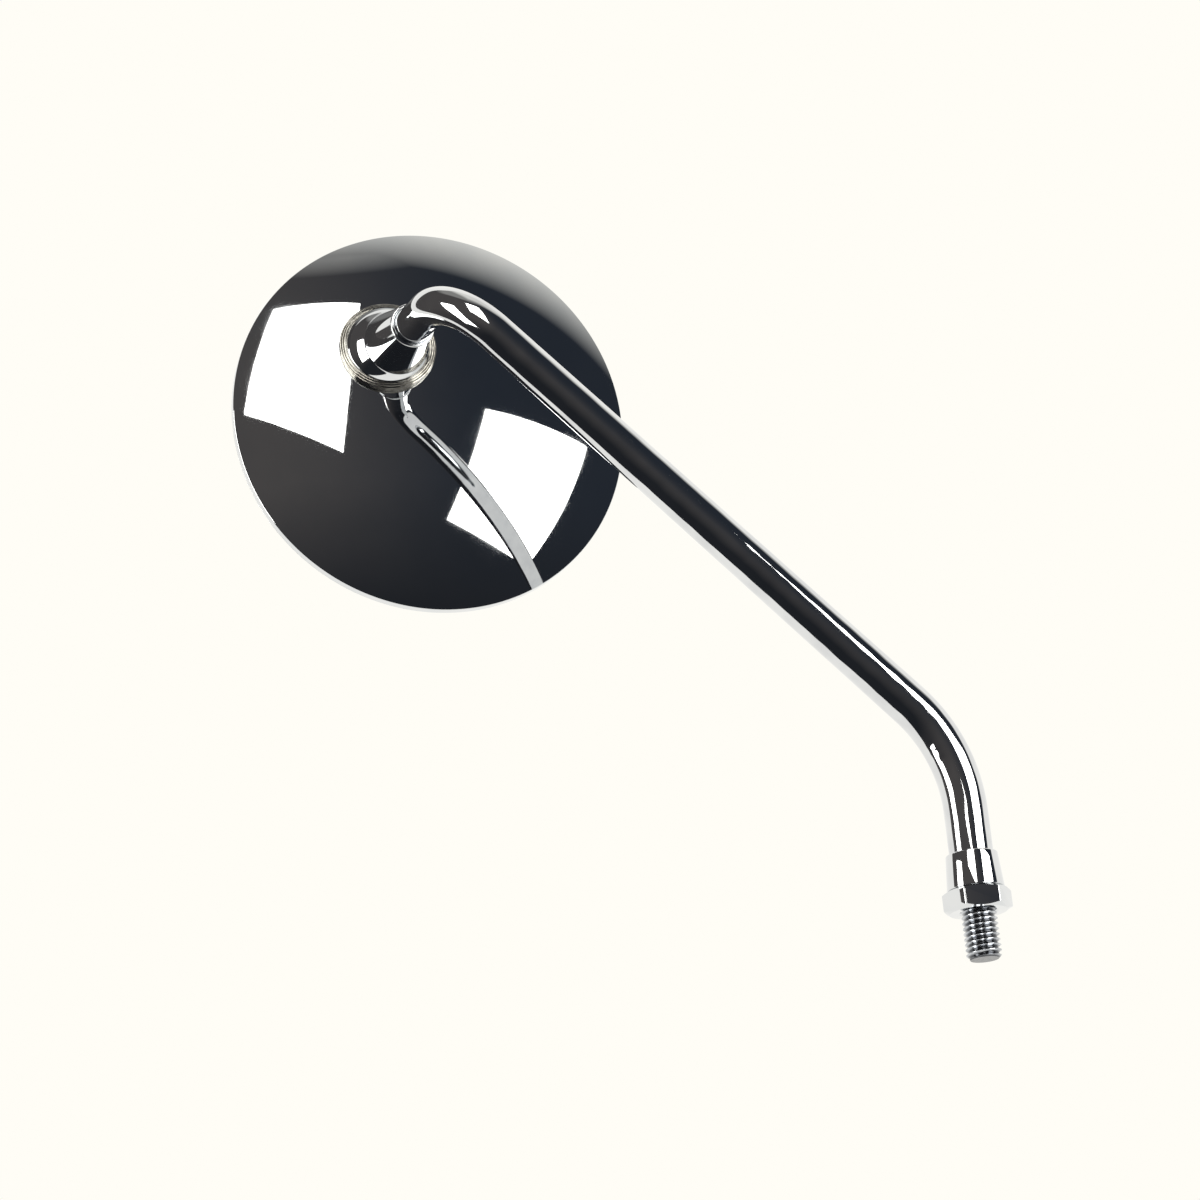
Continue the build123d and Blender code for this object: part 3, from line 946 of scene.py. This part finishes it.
@dataclass(frozen=True)
class Clamp:
    """Sealed pieces behind the glass, which keep their CAD shapes, and the axis they sit on."""

    axis: Place
    finishes: tuple[tuple[str, Finish], ...] = (
        ("inner_seat", NYLON),
        ("pressure_button", BRASS),
        ("friction_spring", SPRING),
        ("clamp_pan", ZINC),
        ("weld_studs", ZINC),
        ("pan_washers", SPRING),
        ("pan_nuts", ZINC),
    )

    def dress(self, nodes: dict[str, bpy.types.Object]) -> None:
        """Give each CAD node its finish.

        Args:
            nodes: CAD nodes by name.
        """
        for name, plain in self.finishes:
            finish = replace(plain, axis=self.axis)
            nodes[name].data.materials.clear()
            nodes[name].data.materials.append(finish.material())
            log.info("%s: CAD shape, %s", name, finish.name)


@dataclass(frozen=True)
class Softbox:
    """Flat soft light given by its middle and two half sides, in metres."""

    name: str
    middle: Vector
    half_a: Vector
    half_b: Vector
    strength: float
    colour: str = "FFFDF8"

    def build(self) -> bpy.types.Object:
        """Make the light as a glowing sheet that the camera does not see directly."""
        bm = bmesh.new()
        bmesh.ops.create_grid(bm, x_segments=1, y_segments=1, size=1.0)
        for vert in bm.verts:
            vert.co = self.middle + self.half_a * vert.co.x + self.half_b * vert.co.y
        mesh = bpy.data.meshes.new(self.name)
        bm.to_mesh(mesh)
        bm.free()
        glow = bpy.data.materials.new(self.name)
        glow.use_nodes = True
        tree = glow.node_tree
        tree.nodes.remove(tree.nodes["Principled BSDF"])
        light = add_node(tree, "ShaderNodeEmission",
                         {"Strength": self.strength, "Color": linear(self.colour)})
        tree.links.new(light.outputs["Emission"], tree.nodes["Material Output"].inputs["Surface"])
        mesh.materials.append(glow)
        sheet = bpy.data.objects.new(self.name, mesh)
        sheet.visible_camera = False
        bpy.context.scene.collection.objects.link(sheet)
        return sheet


@dataclass(frozen=True)
class Edge:
    """Soft edge of a white surface: a direction passes it as it nears the axis."""

    axis: tuple[float, float, float]
    start: float
    end: float


@dataclass(frozen=True)
class PaleSide:
    """Pale surface in the surroundings, seen in the directions that pass all of its edges."""

    level: float
    edges: tuple[Edge, ...]


@dataclass
class Studio:
    """Pale floor, soft lights, surroundings and camera, in metres."""

    floor_height: float = -0.7
    floor_size: float = 6.0
    paper: str = "FFFDF6"
    paper_roughness: float = 0.9
    room_left: str = "524F4E"
    room_right: str = "2A2F37"
    room_low: str = "25272B"
    # Where the room turns from its left to its right colour, and from those to its low one.
    room_turn: tuple[float, float] = (-0.6, 0.5)
    room_drop: tuple[float, float] = (0.0, -0.6)
    camera_place: tuple[float, float, float] = (-0.4249, -0.9980, -0.2402)
    camera_right: tuple[float, float, float] = (0.9541, -0.2827, -0.0988)
    camera_up: tuple[float, float, float] = (0.0038, -0.3184, 0.9480)
    sensor: float = 36.0
    lens: float = 120.0
    shift: tuple[float, float] = (-0.015, -0.0067)
    clip: tuple[float, float] = (0.05, 50.0)
    boxes: tuple[Softbox, ...] = (
        Softbox("softbox_left", Vector((-2.5975, -5.2216, 4.7828)), Vector((1.7691, 0.2639, -1.103)),
                Vector((0.5187, 0.0939, 2.8778)), 6.0),
        Softbox("softbox_right", Vector((0.4173, -0.7015, 0.1309)), Vector((0.1771, 0.1801, -0.0653)),
                Vector((0.0852, 0.1181, 0.2889)), 6.0),
        Softbox("softbox_side", Vector((-5.021, -0.636, 0.15)), Vector((-0.166, 0.997, 0.0)),
                Vector((0.0, 0.0, 2.15)), 6.0),
        # White paper close behind the mirror, which shows in the chrome alone.
        Softbox("paper_behind", Vector((0.0889, 0.041, 0.2498)), Vector((0.3839, -0.128, 0.0318)),
                Vector((0.0, 0.3014, 1.212)), 1.1),
    )
    pale_sides: tuple[PaleSide, ...] = (
        # Far end of the paper on the right and its soft upper end.
        PaleSide(1.0, (Edge((0.325, 0.917, -0.228), 0.0, 0.05), Edge((1.0, 0.0, 0.0), -0.20, 0.0))),
        PaleSide(0.9, (Edge((0.097, 0.835, 0.541), 0.165, 0.43), Edge((1.0, 0.0, 0.0), -0.15, 0.10))),
        # Grey ceiling.
        PaleSide(0.24, (Edge((0.0, 0.0, 1.0), 0.89, 0.935),)),
    )

    def build(self) -> None:
        """Set up the floor, lights, surroundings and camera."""
        self.build_floor()
        [box.build() for box in self.boxes]
        self.build_world()
        self.build_camera()
        bpy.context.scene.view_settings.view_transform = "Standard"

    def build_floor(self) -> None:
        """Lay the plain pale floor."""
        bm = bmesh.new()
        bmesh.ops.create_grid(bm, x_segments=1, y_segments=1, size=self.floor_size)
        bmesh.ops.translate(bm, verts=bm.verts, vec=(0, 0, self.floor_height))
        mesh = bpy.data.meshes.new("floor")
        bm.to_mesh(mesh)
        bm.free()
        matt = bpy.data.materials.new("matt_paper")
        matt.use_nodes = True
        shader = matt.node_tree.nodes["Principled BSDF"]
        shader.inputs["Base Color"].default_value = linear(self.paper)
        shader.inputs["Roughness"].default_value = self.paper_roughness
        mesh.materials.append(matt)
        floor = bpy.data.objects.new("floor", mesh)
        floor.visible_glossy = False
        bpy.context.scene.collection.objects.link(floor)

    def build_world(self) -> None:
        """Dim room in front of the mirror, white paper behind it, and a plain pale backdrop."""
        world = bpy.data.worlds.new("studio")
        world.use_nodes = True
        bpy.context.scene.world = world
        tree = world.node_tree
        tree.nodes.clear()
        place = add_node(tree, "ShaderNodeTexCoord")
        parts = add_node(tree, "ShaderNodeSeparateXYZ", None, {"Vector": place.outputs["Generated"]})
        side = add_node(tree, "ShaderNodeMapRange",
                        {"From Min": self.room_turn[0], "From Max": self.room_turn[1]},
                        {"Value": parts.outputs["X"]}, interpolation_type="SMOOTHSTEP")
        dim = add_node(tree, "ShaderNodeMix",
                       {MIX_A: linear(self.room_left), MIX_B: linear(self.room_right)},
                       {"Factor": side.outputs["Result"]}, data_type="RGBA")
        below = add_node(tree, "ShaderNodeMapRange",
                         {"From Min": self.room_drop[0], "From Max": self.room_drop[1]},
                         {"Value": parts.outputs["Z"]})
        dim = add_node(tree, "ShaderNodeMix", {MIX_B: linear(self.room_low)},
                       {"Factor": below.outputs["Result"], MIX_A: dim.outputs[MIX_RESULT]}, data_type="RGBA")
        white = None
        for pale in self.pale_sides:
            seen = None
            for edge in pale.edges:
                near = add_node(tree, "ShaderNodeVectorMath", {1: edge.axis},
                                {0: place.outputs["Generated"]}, operation="DOT_PRODUCT")
                share = add_node(tree, "ShaderNodeMapRange",
                                 {"From Min": edge.start, "From Max": edge.end, "To Max": pale.level},
                                 {"Value": near.outputs["Value"]}).outputs["Result"]
                if seen is not None:
                    both = add_node(tree, "ShaderNodeMath", None, {0: seen, 1: share}, operation="MINIMUM")
                    share = both.outputs[0]
                seen = share
            if white is not None:
                either = add_node(tree, "ShaderNodeMath", None, {0: white, 1: seen}, operation="MAXIMUM")
                seen = either.outputs[0]
            white = seen
        blend = add_node(tree, "ShaderNodeMix", {MIX_B: linear(self.paper)},
                         {"Factor": white, MIX_A: dim.outputs[MIX_RESULT]}, data_type="RGBA")
        room = add_node(tree, "ShaderNodeBackground", {"Strength": 1.0},
                        {"Color": blend.outputs[MIX_RESULT]})
        backdrop = add_node(tree, "ShaderNodeBackground", {"Strength": 1.0, "Color": linear(self.paper)})
        path = add_node(tree, "ShaderNodeLightPath")
        mixed = add_node(tree, "ShaderNodeMixShader", None, {"Fac": path.outputs["Is Camera Ray"]})
        tree.links.new(room.outputs["Background"], mixed.inputs[1])
        tree.links.new(backdrop.outputs["Background"], mixed.inputs[2])
        out = add_node(tree, "ShaderNodeOutputWorld", None, {"Surface": mixed.outputs["Shader"]})
        out.is_active_output = True

    def build_camera(self) -> None:
        """Stand the camera where the photograph was taken from."""
        data = bpy.data.cameras.new("camera")
        data.sensor_width = self.sensor
        data.lens = self.lens
        data.shift_x, data.shift_y = self.shift
        data.clip_start, data.clip_end = self.clip
        camera = bpy.data.objects.new("camera", data)
        right, up = Vector(self.camera_right).normalized(), Vector(self.camera_up).normalized()
        turn = Matrix((right, up, right.cross(up))).transposed().to_4x4()
        camera.matrix_world = Matrix.Translation(Vector(self.camera_place)) @ turn
        bpy.context.scene.collection.objects.link(camera)
        bpy.context.scene.camera = camera


def main() -> None:
    """Build the mirror and its studio."""
    logging.basicConfig(level=logging.INFO, format="%(name)s: %(message)s")
    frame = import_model()
    stem = Stem()
    stem.build()
    LockNut().build()
    head = Head(stem.ball_centre)
    head.build()
    Clamp(head.boss).dress(frame["nodes"])
    Studio().build()


if __name__ == "__main__":
    main()
